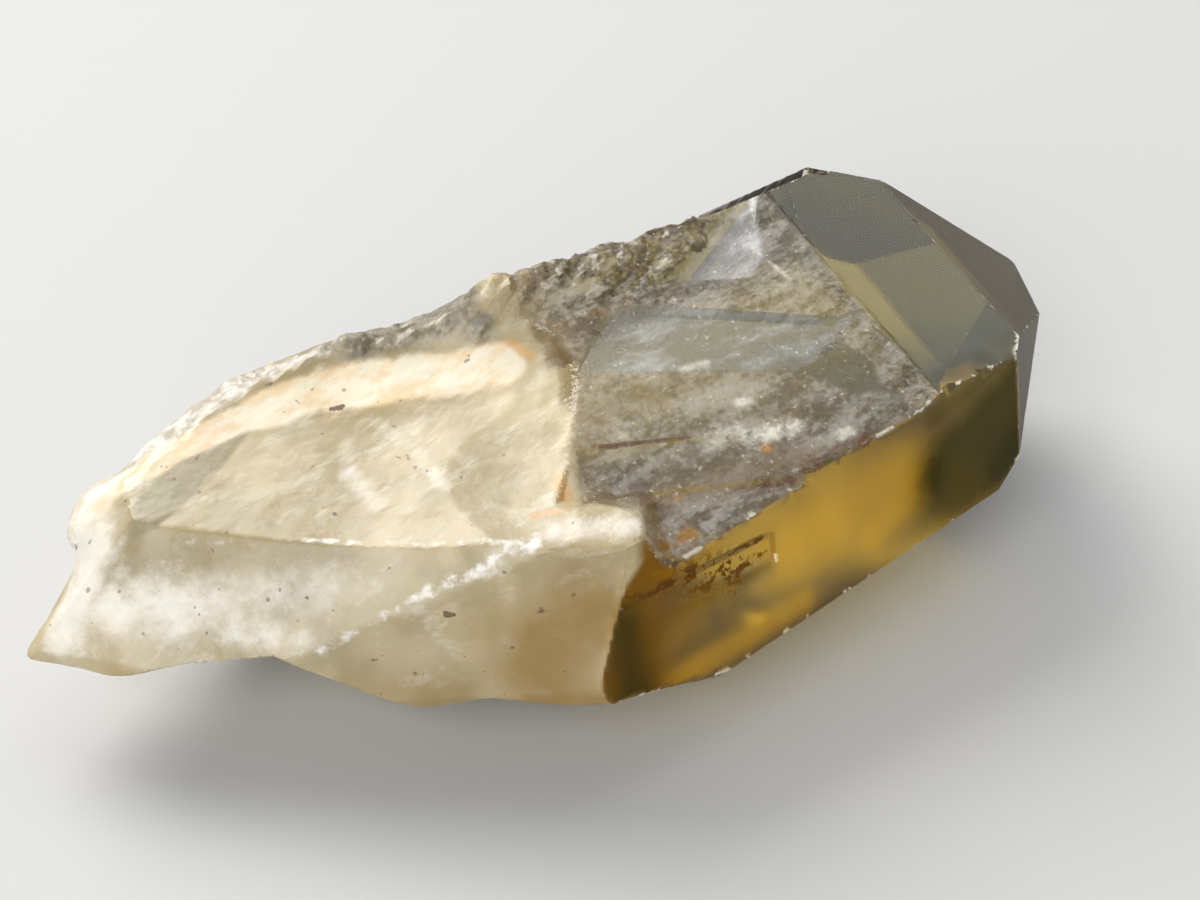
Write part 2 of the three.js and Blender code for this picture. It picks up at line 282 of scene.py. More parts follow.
class Field:
    """Distance to the stone's surface at many places, below 0 inside, and the nearest face's way and name."""

    def __init__(self, places):
        self.places = places
        self.gap = None
        self.way = None
        self.label = None

    def hull(self, planes):
        """Farthest outside of a set of flat faces: the largest distance and the face it belongs to."""
        gap = np.full(len(self.places), -1e9)
        way = np.zeros((len(self.places), 3))
        label = np.zeros(len(self.places), int)
        for name, (n, d) in planes.items():
            here = self.places @ n - d
            more = here > gap
            gap = np.where(more, here, gap)
            way[more] = n
            label[more] = LABELS.index(name)
        return gap, way, label

    def join(self, gap, way, label):
        """Joins another solid: the smaller distance is the surface."""
        if self.gap is None:
            self.gap, self.way, self.label = gap, way, label
            return
        self._take(gap < self.gap, gap, way, label)

    def cut(self, gap, way, label):
        """Cuts to another surface: the larger distance is the surface."""
        self._take(gap > self.gap, gap, way, label)

    def _take(self, where, gap, way, label):
        self.gap = np.where(where, gap, self.gap)
        self.way = np.where(where[:, None], way, self.way)
        self.label = np.where(where, label, self.label)

    def break_off(self, name, faces):
        """Takes away what is outside all of the faces: the smallest of their distances."""
        gap = np.full(len(self.places), 1e9)
        way = np.zeros((len(self.places), 3))
        for n, d in faces:
            here = self.places @ n - d
            less = here < gap
            gap = np.where(less, here, gap)
            way[less] = n
        self.cut(gap, way, np.full(len(self.places), LABELS.index(name)))

    def hollow(self, name, ball):
        """Takes away a stretched ball: one less its stretched radius, times its smallest half size."""
        centre, axes, half = ball
        q = (self.places - centre) @ axes.T / half
        r = np.maximum(np.linalg.norm(q, axis=1), 1e-6)
        near = r < 1.6
        gap = np.where(near, (1 - r) * half.min(), -1e3)
        way = -(q / r[:, None] / half) @ axes
        way /= np.maximum(np.linalg.norm(way, axis=1), 1e-9)[:, None]
        self.cut(gap, way, np.full(len(self.places), LABELS.index(name)))


PRISM_PLANES = {"side " + k: side_plane(v) for k, v in SIDES.items()}
PRISM_PLANES |= {"point " + k: point_plane(v) for k, v in POINT.items()}
THICK_PLANES = PRISM_PLANES | {"side topBack": side_plane(STEP_SIDE), "stepStart": plane(STEP_START)}
ROOT_PLANES = {"root " + k: plane(v) for k, v in (ROOT | ROOT_REAR).items()} | {"rootEnd": plane(ROOT_END)}
ROOT_PLANES |= {"side top": side_plane(SIDES["top"]), "side front": side_plane(SIDES["front"])}
RIDGE_PLANES = {"ridge " + k: plane(v) for k, v in RIDGE.items()}
TRIM_PLANES = {"underFront": plane(UNDER_FRONT), "stepCorner": plane(STEP_CORNER)}
TRIM_PLANES |= {"root " + k: plane(v) for k, v in ROOT.items()}
REST_PLANE = {"resting": plane(RESTING)}
BREAK_PLANES = {k: [plane(f) for f in v] for k, v in BREAKS.items()}
BALLS = {k: dish(v) for k, v in HOLLOWS.items()}
CHIP_BALLS = {k: [dish(c) for c in chips(*v)] for k, v in CHIP_ROWS.items()}
LABELS = list(THICK_PLANES) + list(ROOT_PLANES) + list(RIDGE_PLANES) + list(TRIM_PLANES) + list(REST_PLANE)
LABELS += list(BREAK_PLANES) + list(BALLS) + list(CHIP_BALLS)
LABELS = list(dict.fromkeys(LABELS))


def stone_field(places):
    """The stone: prism, thicker side, root and ridge joined, then trimmed, broken, hollowed and set level."""
    field = Field(places)
    for planes in (PRISM_PLANES, THICK_PLANES, ROOT_PLANES, RIDGE_PLANES):
        field.join(*field.hull(planes))
    field.cut(*field.hull(TRIM_PLANES))
    for name, faces in BREAK_PLANES.items():
        field.break_off(name, faces)
    for name, ball in BALLS.items():
        field.hollow(name, ball)
    for name, balls in CHIP_BALLS.items():
        for ball in balls:
            field.hollow(name, ball)
    field.cut(*field.hull(REST_PLANE))
    return field


# ---------------------------------------------------------------- the skin
def eased(t):
    """Smooth step: three times the square less twice the cube, between 0 and 1."""
    t = np.clip(t, 0, 1)
    return t * t * (3 - 2 * t)


def rays():
    """Where each ray starts and the way it runs, for each row and turn.

    A ray starts on a line inside the stone and leans from straight back at the root's tip, through square to
    the line in the middle, to straight ahead at the point: sine of the lean along the line, cosine outward.
    """
    u = np.linspace(0, 1, ROWS)
    t = 2 * np.pi * np.arange(ROUND) / ROUND
    turn = t - CROWDING * np.sin(t - VISIBLE_TURN)
    lean = np.radians(rounded(np.interp(u, LEAN[:, 0], LEAN[:, 1])))
    along = rounded(np.clip((u - SPINE_FIRST) / SPINE_SHARE, 0, 1))
    x = SPINE[0, 0] + (SPINE[-1, 0] - SPINE[0, 0]) * along
    y, z, yaw = (rounded(np.interp(x, SPINE[:, 0], SPINE[:, k])) for k in (1, 2, 3))
    yaw = np.radians(yaw)
    zero = np.zeros_like(u)
    ahead = np.stack([np.cos(yaw), np.sin(yaw), zero], 1)
    across = np.stack([-np.sin(yaw), np.cos(yaw), zero], 1)
    start = np.repeat(np.stack([x, y, z], 1)[:, None], ROUND, 1)
    outward = across[:, None] * np.cos(turn)[None, :, None]
    outward = outward + np.array([0, 0, 1.0]) * np.sin(turn)[None, :, None]
    way = ahead[:, None] * np.sin(lean)[:, None, None] + outward * np.cos(lean)[:, None, None]
    return start, way


def rounded(line):
    """A line along the rows with its bends rounded: the mean over a few rows to either side."""
    padded = np.pad(line, ROUNDING, "reflect", reflect_type="odd")
    rows = 2 * ROUNDING + 1
    return np.convolve(padded, np.ones(rows) / rows, "valid")


def hits(start, way):
    """Where each ray leaves the stone: it steps by the distance to the surface, then lands on the flat face.

    Rays that have arrived rest while the others go on. The landing divides the distance by the cosine between
    the ray and the face's way, unless the ray grazes the face.
    """
    reach = np.zeros(len(start))
    going = np.arange(len(start))
    for _ in range(MOST_STEPS):
        gap = stone_field(start[going] + way[going] * reach[going, None]).gap
        reach[going] -= np.clip(gap, -LONGEST_STEP, STEP_BACK) * CAUTION
        going = going[np.abs(gap) > ARRIVED]
        if not len(going):
            break
    for _ in range(2):
        field = stone_field(start + way * reach[:, None])
        slope = np.einsum("ij,ij->i", field.way, way)
        reach -= np.where(slope > GRAZING, field.gap / np.maximum(slope, GRAZING), field.gap)
    places = start + way * reach[:, None]
    return places, stone_field(places)


def corners(places, ways):
    """One point for each cell of the grid: where the flat faces at its four corners meet, near its middle.

    It is the least squares meeting of the four tangent planes, held lightly to the mean of the four places,
    so edges and corners of the crystal come out sharp and the flat faces stay flat. A point that lies off its
    faces, or beside one that does, is drawn to its neighbours, and one far off them goes back to the mean.
    """
    p, n = (np.stack(four(a), 2) for a in (places, ways))
    middle = p.mean(2)
    square = np.einsum("abki,abkj->abij", n, n) + np.eye(3) * HELD
    pull = np.einsum("abki,abk->abi", n, np.einsum("abki,abki->abk", n, p - middle[:, :, None]))
    step = np.linalg.solve(square, pull[..., None])[..., 0]
    spare = SPARE * np.linalg.norm(p[:, :, 0] - p[:, :, 3], axis=2, keepdims=True)
    met = np.clip(middle + step, p.min(2) - spare, p.max(2) + spare)
    missed = np.abs(np.einsum("abki,abki->abk", n, met[:, :, None] - p)).max(2)
    loose = (missed > LOOSE).astype(float)
    loose = np.maximum.reduce([loose, beside(loose, 0) * 0.4, beside(loose, 1) * 0.4])
    return relaxed(np.where(missed[..., None] > MISSED, middle, met), loose * 0.7, times=3)


def four(grid):
    """The grid's values at the four corners of each cell. The rows end, the rounds close."""
    turned = np.roll(grid, -1, 1)
    return [grid[:-1], grid[1:], turned[:-1], turned[1:]]


def relaxed(net, share, times):
    """The net with each point drawn by its share toward the mean of the four beside it, that many times."""
    share = share[..., None]
    for _ in range(times):
        net = net * (1 - share) + (beside(net, 0, np.add) + beside(net, 1, np.add)) * share / 4
    return net


def beside(net, axis, join=np.maximum):
    """The two neighbours of each point along one axis, joined. A point at the end of the rows is its own."""
    if axis == 1:
        return join(np.roll(net, 1, 1), np.roll(net, -1, 1))
    return join(np.concatenate([net[:1], net[:-1]]), np.concatenate([net[1:], net[-1:]]))


# ---------------------------------------------------------------- fine relief
MIXERS = (73856093, 19349663, 83492791)  # large odd numbers that scatter the three coordinates
SEED_MIXER = 2654435761
STIRRINGS = ((15, 0x2C1B3C6D), (12, 0x297A2D39))  # shift down and multiply, in turn
LOW_32, LOW_24 = 0xFFFFFFFF, 0xFFFFFF


def lattice(cells, seed):
    """A number between -1 and 1 for each whole place in space, from mixing its coordinates and the seed."""
    x, y, z = (cells[..., k].astype(np.int64).astype(np.uint64) * np.uint64(MIXERS[k]) for k in range(3))
    h = x ^ y ^ z ^ np.uint64(seed * SEED_MIXER)
    for shift, factor in STIRRINGS:
        h = (h ^ (h >> np.uint64(shift))) * np.uint64(factor) & np.uint64(LOW_32)
    h = h ^ (h >> np.uint64(15))
    return (h & np.uint64(LOW_24)).astype(float) / (LOW_24 // 2) - 1


def lumps(places, size, seed, octaves):
    """Smooth random lumps: lattice numbers blended along the axes, in octaves of half the size and strength.

    The blend between whole places is 6 times the fifth power less 15 times the fourth plus 10 times the cube.
    """
    total = np.zeros(places.shape[:-1])
    for k in range(octaves):
        q = places * (2**k / size) + 37.3 * k
        cell = np.floor(q)
        f = q - cell
        f = f * f * f * (f * (f * 6 - 15) + 10)
        for corner in range(8):
            step = np.array([corner & 1, corner >> 1 & 1, corner >> 2 & 1])
            weight = np.prod(np.where(step == 1, f, 1 - f), axis=-1)
            total += 0.5**k * weight * lattice(cell + step, seed + k)
    return total


def near(places, first, last, reach):
    """1 on the line between two places, falling to 0 as a bell curve of that reach."""
    a, b = np.array(first), np.array(last)
    ab = b - a
    t = np.clip((places - a) @ ab / max(ab @ ab, 1e-9), 0, 1)
    away = np.linalg.norm(places - a - t[..., None] * ab, axis=-1)
    return np.exp(-((away / reach) ** 2))


# ---------------------------------------------------------------- the stone's piece
RESTING_LEVEL = RESTING[2]
# Where the milky root gives way to clear crystal, across the top: y of the place, x of the boundary there.
EDGE_ON_TOP = np.array([
    (-30.0, -18.5), (-28.7, -17.6), (-27.5, -16.2), (-26.0, -15.9), (-24.6, -17.2), (-23.4, -18.4),
    (-22.0, -17.5), (-20.4, -16.5), (-17.0, -14.6), (-13.8, -13.3), (-8.2, -13.2), (-4.0, -15.0),
    (3.0, -18.0),
])
# And down the front: z of the place, x of the boundary there.
EDGE_BELOW = np.array([(1.5, -20.0), (8.0, -23.0), (11.5, -22.9), (14.8, -21.6), (19.1, -17.75)])
TOP_ABOVE, TOP_BLEND = 17.5, 2  # the height where the boundary on top takes over, and in how much
# Toward the front the boundary runs smooth and keeps to the root's own faces: from this y, in this length.
CALM_FRONT, CALM_BLEND = -25, 2.5
ROOT_PULL = 4  # how far past the boundary the root's own faces stay milky there

# The ridge is torn in streaks that climb to the point: along, across and out of them.
TEAR_AXES = np.array([(0.86, 0.30, 0.41), (-0.36, 0.93, 0.08), (-0.36, -0.21, 0.91)])
TEAR_SIZE = np.array([5.5, 0.9, 1.5])
RIPPLE_SIZE = np.array([5.0, 1.6, 1.6])
# Rounded edges, from one place to another and how far round: the tongue, the ends of the band, of the silver
# face and of the ledges.
WORN = (
    ((-21.0, -26.0, 20.3), (-16.6, -27.6, 20.4), 0.8),
    ((7.2, -18.6, 23.0), (5.2, -21.8, 21.8), 1.1),
    ((6.6, -12.0, 25.6), (5.6, -14.0, 24.8), 1.0),
    ((-13.6, -20.4, 20.8), (-15.6, -28.8, 18.4), 0.9),
    ((-16.3, -19.2, 21.2), (-16.8, -23.4, 19.9), 0.8),
)
# The round knob at the root's end, as near() takes it.
KNOB = ((-44.4, -1.6, 16.2), (-43.4, -0.6, 17.2), 1.9)
# Where the crown's roughness runs on over the root: from one place to another, reach, strength.
SHATTERED = (
    ((-22.6, -3.0, 23.4), (-16.5, -5.2, 24.6), 2.3, 1.1),
    ((-21.0, -7.0, 25.0), (-16.1, -8.0, 24.4), 1.3, 1.1),
)
# How high each kind of relief stands, in millimetres.
HIGH = {
    "root folds": 0.45,
    "root swells": 0.10,
    "root grain": 0.04,
    "ridge tears": 0.75,
    "ridge grain": 0.08,
    "crown tears": 0.34,
    "crown grain": 0.05,
    "rough ripple": 0.05,
    "band ripple": 0.03,
    "knob": 1.3,
    "nicks": 0.16,
}
# Marks on the stone: from one place to another, reach, strength.
MARKS = {
    # Mostly the root's milky white; the basin's wisps below are painted highlights of its ripples.
    "white": (
        ((-45.0, -3.0, 16.0), (-42.5, -1.0, 15.5), 3.2, 1.0),
        ((-49.0, -6.0, 12.0), (-44.5, -4.0, 16.0), 2.0, 1.0),
        ((-21.4, -24.4, 20.3), (-16.9, -27.2, 20.4), 1.5, 0.7),
        ((-45.5, -7.4, 13.6), (-39.5, -12.0, 14.4), 2.8, 0.85),
        ((-40.5, -11.5, 15.5), (-34.0, -16.4, 15.8), 2.6, 0.65),
        ((-40.0, -13.6, 13.4), (-36.5, -16.5, 13.0), 1.8, 0.7),
        ((-34.0, -16.6, 15.8), (-31.0, -19.0, 16.4), 1.6, 0.5),
        # The basin's wisps, from here on: painted highlights of its ripples.
        ((-27.5, -8.1, 20.1), (-28.6, -10.7, 19.5), 1.0, 0.5),
        ((-28.6, -10.7, 19.5), (-28.6, -14.2, 19.3), 1.2, 0.6),
        ((-25.1, -8.5, 20.6), (-24.3, -12.4, 20.2), 0.9, 0.48),
        ((-24.3, -12.4, 20.2), (-24.6, -16.4, 19.9), 0.9, 0.52),
        ((-22.6, -11.8, 20.7), (-22.4, -17.5, 20.4), 0.8, 0.40),
    ),
    "pale": (
        ((-43.0, -1.6, 17.0), (-37.6, -1.7, 19.2), 1.3, 1.0),
        ((-37.6, -1.7, 19.2), (-30.9, -2.8, 20.5), 1.3, 1.0),
        ((-30.9, -2.8, 20.5), (-26.4, -4.2, 21.4), 1.7, 1.0),
        ((-26.4, -4.2, 21.4), (-16.2, -10.6, 22.8), 2.0, 1.0),
    ),
    # Painted highlights: thin bright lines along the crease under the basin and down the belly.
    "vein": (
        ((-40.5, -7.8, 17.2), (-32.5, -15.1, 18.6), 0.35, 0.8),
        ((-32.5, -15.1, 18.6), (-24.0, -23.4, 19.9), 0.4, 0.9),
        ((-22.7, -24.4, 20.1), (-26.5, -22.7, 18.4), 0.9, 0.9),
        ((-26.5, -22.7, 18.4), (-29.3, -21.4, 17.0), 0.6, 0.9),
        ((-29.3, -21.4, 17.0), (-36.0, -18.4, 13.0), 0.45, 0.8),
    ),
    "orange": (
        ((-27.6, -6.0, 20.8), (-18.2, -10.8, 22.0), 0.8, 0.5),
        ((-21.0, -24.8, 20.3), (-17.4, -26.8, 20.4), 1.0, 0.4),
        ((-18.6, -21.0, 20.9), (-18.9, -22.6, 20.5), 0.8, 1.0),
        ((-21.6, -22.4, 20.3), (-19.6, -23.6, 20.3), 0.6, 0.8),
        ((-14.8, -9.8, 23.8), (-14.2, -11.6, 23.2), 0.6, 0.9),
        ((-46.0, -9.5, 10.0), (-42.0, -9.8, 10.4), 1.0, 0.8),
        ((-36.0, -16.0, 10.4), (-31.0, -21.0, 10.4), 0.9, 0.45),
        ((-13.6, -24.8, 19.4), (-11.8, -25.6, 19.0), 0.7, 0.6),
        ((-4.9, -25.6, 19.9), (-4.5, -25.8, 19.9), 0.5, 1.0),
        ((-12.6, -11.0, 24.2), (-6.0, -11.6, 24.3), 0.8, 0.5),
        ((-30.6, -6.2, 20.1), (-25.8, -8.2, 20.9), 0.7, 0.3),
    ),
    "honey": (
        ((-24.8, -27.2, 12.5), (-21.6, -28.2, 15.5), 4.2, 1.05),
        ((-25.0, -28.0, 9.0), (-21.0, -29.0, 10.0), 3.4, 1.0),
        ((-20.7, -28.5, 17.0), (-19.8, -29.0, 15.0), 2.0, 0.9),
        ((-34.0, -20.0, 10.0), (-29.0, -24.0, 10.0), 2.6, 0.6),
        ((-46.0, -9.0, 9.6), (-40.0, -12.0, 10.0), 1.6, 0.8),
    ),
    # A greenish darker tone: partly the root's greenish translucence, partly painted shade in its valley.
    "green": (
        ((-36.5, -8.0, 18.4), (-32.0, -10.0, 19.0), 2.2, 0.3),
        ((-24.0, -21.0, 20.0), (-19.6, -16.0, 20.9), 1.8, 0.35),
        ((-37.0, -14.0, 15.5), (-31.0, -18.0, 16.5), 2.0, 0.35),
    ),
    "speck": (
        ((-31.3, -13.0, 18.8), (-31.2, -13.1, 18.8), 0.32, 1.0),
        ((-35.4, -16.0, 15.6), (-35.3, -16.0, 15.6), 0.30, 1.0),
        ((-28.9, -22.7, 15.8), (-28.4, -23.0, 15.7), 0.42, 1.0),
        ((-33.6, -20.6, 12.4), (-32.6, -21.2, 13.0), 0.32, 1.0),
        ((-25.2, -26.6, 14.0), (-25.0, -26.7, 14.1), 0.40, 0.9),
        ((-24.2, -26.3, 16.1), (-23.6, -26.5, 16.1), 0.60, 0.8),
        ((-26.9, -5.7, 20.9), (-26.2, -6.0, 21.0), 0.45, 1.0),
        ((-35.0, -13.5, 17.9), (-34.9, -13.4, 17.9), 0.30, 0.9),
        ((-38.1, -2.6, 19.1), (-38.0, -2.6, 19.1), 0.30, 0.8),
    ),
    "crack": (
        ((-14.6, -20.1, 21.1), (-9.0, -22.4, 20.8), 0.45, 1.0),
        ((-9.0, -22.6, 20.7), (-6.4, -23.6, 20.5), 0.45, 0.7),
        ((-14.1, -23.3, 20.1), (-11.6, -24.1, 19.7), 0.40, 0.9),
        ((-16.0, -27.0, 19.6), (-10.2, -28.8, 18.1), 0.45, 0.9),
        ((-14.6, -14.6, 22.5), (-14.2, -17.2, 21.9), 0.45, 0.8),
    ),
    "stain": (
        ((-17.2, -29.4, 16.3), (-7.7, -29.5, 15.9), 0.5, 1.0),
        ((-13.2, -29.7, 15.4), (-10.5, -29.7, 14.6), 2.2, 0.8),
        ((-11.4, -29.6, 14.0), (-7.7, -29.5, 14.9), 0.45, 0.9),
        ((-3.4, -12.6, 24.0), (-12.5, -12.4, 23.7), 0.5, 0.5),
        ((-14.8, -28.0, 17.8), (-13.6, -28.2, 17.8), 0.8, 0.5),
        ((-7.5, -27.9, 19.0), (2.0, -28.5, 19.4), 0.8, 0.75),
        ((-12.0, -26.4, 18.9), (-7.5, -27.4, 19.0), 0.6, 0.6),
        ((-19.0, -29.2, 16.6), (-16.5, -29.4, 16.0), 0.7, 0.7),
    ),
    "frost": (
        ((-4.2, -21.9, 21.2), (-3.6, -22.1, 21.2), 0.7, 1.0),
        ((-7.6, -23.4, 20.5), (-4.8, -24.2, 20.3), 1.8, 0.8),
        ((-4.2, -24.6, 20.3), (-2.0, -25.2, 20.2), 1.5, 1.0),
        ((-9.0, -21.0, 21.2), (-2.0, -23.0, 21.0), 1.6, 0.45),
        ((0.4, -27.4, 19.8), (1.2, -27.6, 19.8), 0.9, 0.9),
        ((-12.4, -19.2, 21.5), (-10.6, -19.9, 21.4), 0.9, 0.6),
        ((-13.6, -20.0, 21.2), (-12.6, -20.2, 21.2), 0.5, 0.7),
        ((-6.0, -17.9, 22.4), (-4.2, -18.4, 22.4), 0.8, 0.9),
        ((-14.0, -10.0, 24.0), (-14.5, -14.0, 22.8), 0.5, 0.6),
        ((-14.8, -15.0, 22.6), (-17.0, -20.4, 20.9), 0.5, 0.7),
        ((-17.4, -21.0, 20.8), (-20.0, -23.0, 20.3), 0.5, 0.5),
        ((-3.0, -18.6, 22.4), (4.2, -20.4, 22.1), 0.9, 0.5),
        ((-13.0, -24.4, 19.6), (-7.0, -25.0, 20.0), 1.0, 0.3),
        ((6.6, -9.4, 26.4), (2.6, -10.2, 25.6), 0.9, 0.9),
        ((4.6, -11.0, 25.2), (5.4, -15.6, 23.9), 0.45, 0.8),
        ((7.0, -17.4, 23.8), (8.4, -26.0, 21.0), 0.5, 0.5),
    ),
    "rust": (
        ((-14.0, -24.6, 19.5), (-3.0, -27.6, 19.5), 2.0, 0.9),
        ((-9.6, -17.8, 22.2), (-9.0, -19.6, 21.7), 1.2, 0.8),
        ((-3.6, -23.6, 20.9), (-1.4, -24.2, 20.8), 0.9, 0.7),
        ((-13.0, -11.6, 23.7), (-8.0, -12.2, 24.0), 1.2, 0.6),
        ((-14.0, -12.0, 23.4), (-14.2, -16.0, 22.4), 0.7, 0.5),
        ((-13.6, -19.0, 21.4), (-12.4, -16.6, 21.9), 1.2, 0.5),
    ),
    "dusk": (
        ((6.2, -27.6, 20.2), (7.4, -20.6, 22.2), 0.9, 0.5),
        ((-13.4, -17.6, 22.0), (-8.6, -18.6, 22.0), 1.2, 0.7),
        ((-16.0, -22.6, 20.3), (-12.0, -23.2, 20.5), 1.0, 0.6),
        ((-4.0, -19.6, 21.9), (1.6, -21.4, 21.7), 0.8, 0.5),
    ),
    "torn": (
        ((-15.0, -8.6, 25.6), (-4.0, -10.4, 25.4), 2.6, 1.0),
        ((-14.0, -11.0, 24.0), (-9.0, -11.4, 24.2), 1.6, 0.8),
    ),
    "shade": (
        ((10.0, -29.2, 13.5), (16.5, -28.0, 16.5), 5.0, 1.3),
        ((9.5, -27.5, 20.6), (13.5, -28.0, 20.7), 1.8, 0.8),
        ((8.0, -29.0, 18.6), (15.0, -28.6, 20.0), 1.6, 0.7),
        ((12.5, -30.0, 11.6), (16.0, -29.4, 12.4), 2.4, 1.1),
        ((-19.5, -30.6, 8.0), (-19.8, -29.4, 14.5), 2.4, 0.8),
    ),
    "pocket": (
        ((-15.6, -28.1, 18.5), (-12.9, -27.9, 18.2), 0.65, 1.1),
        ((-16.6, -28.9, 17.4), (-15.2, -29.0, 17.0), 0.9, 0.6),
    ),
    # Painted glow: bright golden patches on the front face and along its lower edge, where light comes
    # through the crystal.
    "amber": (
        ((-5.0, -29.5, 14.0), (4.0, -29.0, 15.5), 4.0, 0.85),
        ((2.0, -30.0, 12.5), (6.0, -30.0, 14.4), 2.4, 1.1),
        ((-17.0, -30.0, 12.0), (-12.0, -29.8, 13.5), 2.6, 0.45),
        ((-18.0, -31.0, 8.6), (-5.0, -31.0, 9.8), 1.6, 0.9),
    ),
}
# Corners, seen from above, of the small clean facet on the top break, in order against the clock.
FACET = ((1.3, -22.2), (3.6, -25.6), (5.6, -26.2), (6.2, -24.0), (5.3, -20.9))
# And of the khaki flat between the root's white knob and its basin.
FLAT = ((-43.1, -5.6), (-40.9, -6.6), (-36.0, -5.3), (-32.3, -3.7), (-36.9, -2.8), (-40.5, -3.3))


def from_root(places):
    """Millimetres past the edge of the milky root along the crystal: below 0 is root, above 0 is clear."""
    x, y, z = places[..., 0], places[..., 1], places[..., 2]
    above = np.interp(y, EDGE_ON_TOP[:, 0], EDGE_ON_TOP[:, 1])
    below = np.interp(z, EDGE_BELOW[:, 0], EDGE_BELOW[:, 1])
    return x - below - (above - below) * eased((z - TOP_ABOVE) / TOP_BLEND)


def within(places, outline):
    """1 inside a convex outline seen from above, 0 outside: the distance in from the sides, over 0.3 mm."""
    least = np.full(places.shape[:-1], 9.0)
    for (x, y), (next_x, next_y) in zip(outline, outline[1:] + outline[:1]):
        along = np.array([next_x - x, next_y - y]) / math.hypot(next_x - x, next_y - y)
        least = np.minimum(least, along[0] * (places[..., 1] - y) - along[1] * (places[..., 0] - x))
    return eased(least / 0.3 + 0.5)


def marked(net, marks):
    """How strongly marks show at each point: the largest of their strengths, each falling off like near()."""
    return np.maximum.reduce([strength * near(net, a, b, reach) for a, b, reach, strength in marks])


def raised(net):
    """0 where the stone rests, 1 a little above it."""
    return eased((net[..., 2] - RESTING_LEVEL) / 1.5)


def faces_named(*starts):
    """The names of the faces, breaks, hollows and chips that start with one of those words."""
    return [name for name in LABELS if name.startswith(starts)]


# Each kind of surface on the stone, and the faces, breaks, hollows and chips that it has.
ZONES = {
    "ridge": faces_named("ridge") + ["rootEnd"],
    "crest": ["ridgeTop", "ridgeFront"],
    "crown": ["root crown", "crown", "crownBack", "crownDip"],
    "rough": [name for name in faces_named("top") if name in BREAKS and name != "topBand"],
    "band": ["topBand", "silverFace"],
    "silver": ["silverFace"],
    "root": faces_named(
        "root ", "basin", "tongueTop", "leftNotch", "waist", "bellyDip", "rearShell", "underShell"
    ),
    "front": ["side front", "underFront", "frontBand"],
    "top": ["side top", "stepStart"],
    "tip": faces_named("point "),
    "grown": faces_named("side ", "point "),
}


def shares(labels):
    """For each kind of surface, the share of each cell's four corners that lie on it."""
    found = {}
    for zone, names in ZONES.items():
        hit = np.isin(labels, [LABELS.index(name) for name in names]).astype(float)
        found[zone] = sum(four(hit)) / 4
    return SimpleNamespace(**found)


def worn(net, zone):
    """The net with its worn edges rounded, on the ridge, the crown, the root and where WORN says."""
    wear = np.clip(zone.ridge + zone.crown + zone.crest, 0, 1)
    for first, last, reach in WORN:
        wear = np.maximum(wear, near(net, first, last, reach))
    net = relaxed(net, 0.8 * eased(wear * 1.4), times=6)
    return relaxed(net, 0.6 * zone.root * raised(net), times=2)


def relief(net, zone, bend):
    """How far each point stands out, in millimetres.

    The root has soft folds, swells and a fine grain, the ridge and the crown long torn streaks and a grain,
    the breaks faint ripples, the bend between the front face and the top break small nicks, and the root a
    round knob at its end. A fold or a streak is a constant less the size of its lumps, so its top is sharp.
    """
    tear = net @ TEAR_AXES.T
    torn = 0.6 - np.abs(lumps(tear / TEAR_SIZE, size=1.0, seed=31, octaves=2))
    ripple = lumps(tear / RIPPLE_SIZE, size=1.0, seed=61, octaves=2)
    folds = 0.35 - np.abs(lumps(net, size=10.0, seed=11, octaves=1))
    swells = lumps(net, size=6.0, seed=17, octaves=2)
    root_grain = lumps(net, size=1.8, seed=21, octaves=3)
    grain = lumps(net, size=1.0, seed=41, octaves=2)
    first, last, reach, _ = MARKS["torn"][0]
    ridge = np.clip(zone.ridge + zone.crest + near(net, first, last, reach) * zone.rough * 0.5, 0, 1)
    nicked = bend * (zone.front > 0.1) * (zone.rough > 0.1)
    soft = HIGH["root folds"] * folds + HIGH["root swells"] * swells + HIGH["root grain"] * root_grain
    high = zone.root * soft
    high += ridge * (HIGH["ridge tears"] * torn + HIGH["ridge grain"] * grain)
    high += zone.crown * (HIGH["crown tears"] * torn + HIGH["crown grain"] * grain)
    high += (zone.rough * HIGH["rough ripple"] + zone.band * HIGH["band ripple"]) * ripple
    high += HIGH["knob"] * zone.root * near(net, *KNOB)
    high += HIGH["nicks"] * nicked * lumps(net, size=1.3, seed=51, octaves=2)
    return high * raised(net)


def colour_numbers(net, zone, bend):
    """The numbers that the material reads at each point: kinds of surface, outlined flats, bends, marks."""
    calm = eased((CALM_FRONT - net[..., 1]) / CALM_BLEND)
    kept = ("crown", "rough", "band", "silver", "front", "top", "tip")
    numbers = {name: getattr(zone, name) for name in kept}
    numbers["ridge"] = np.clip(zone.ridge + zone.crest, 0, 1)
    numbers["from_root"] = from_root(net) - ROOT_PULL * zone.root * calm
    numbers["calm"] = calm
    numbers["edge"] = bend * np.clip(2 * zone.grown, 0, 1) * raised(net)
    numbers["facet"] = within(net, FACET)
    numbers["flat"] = within(net, FLAT) * zone.root
    return numbers | {name: marked(net, marks) for name, marks in MARKS.items()}


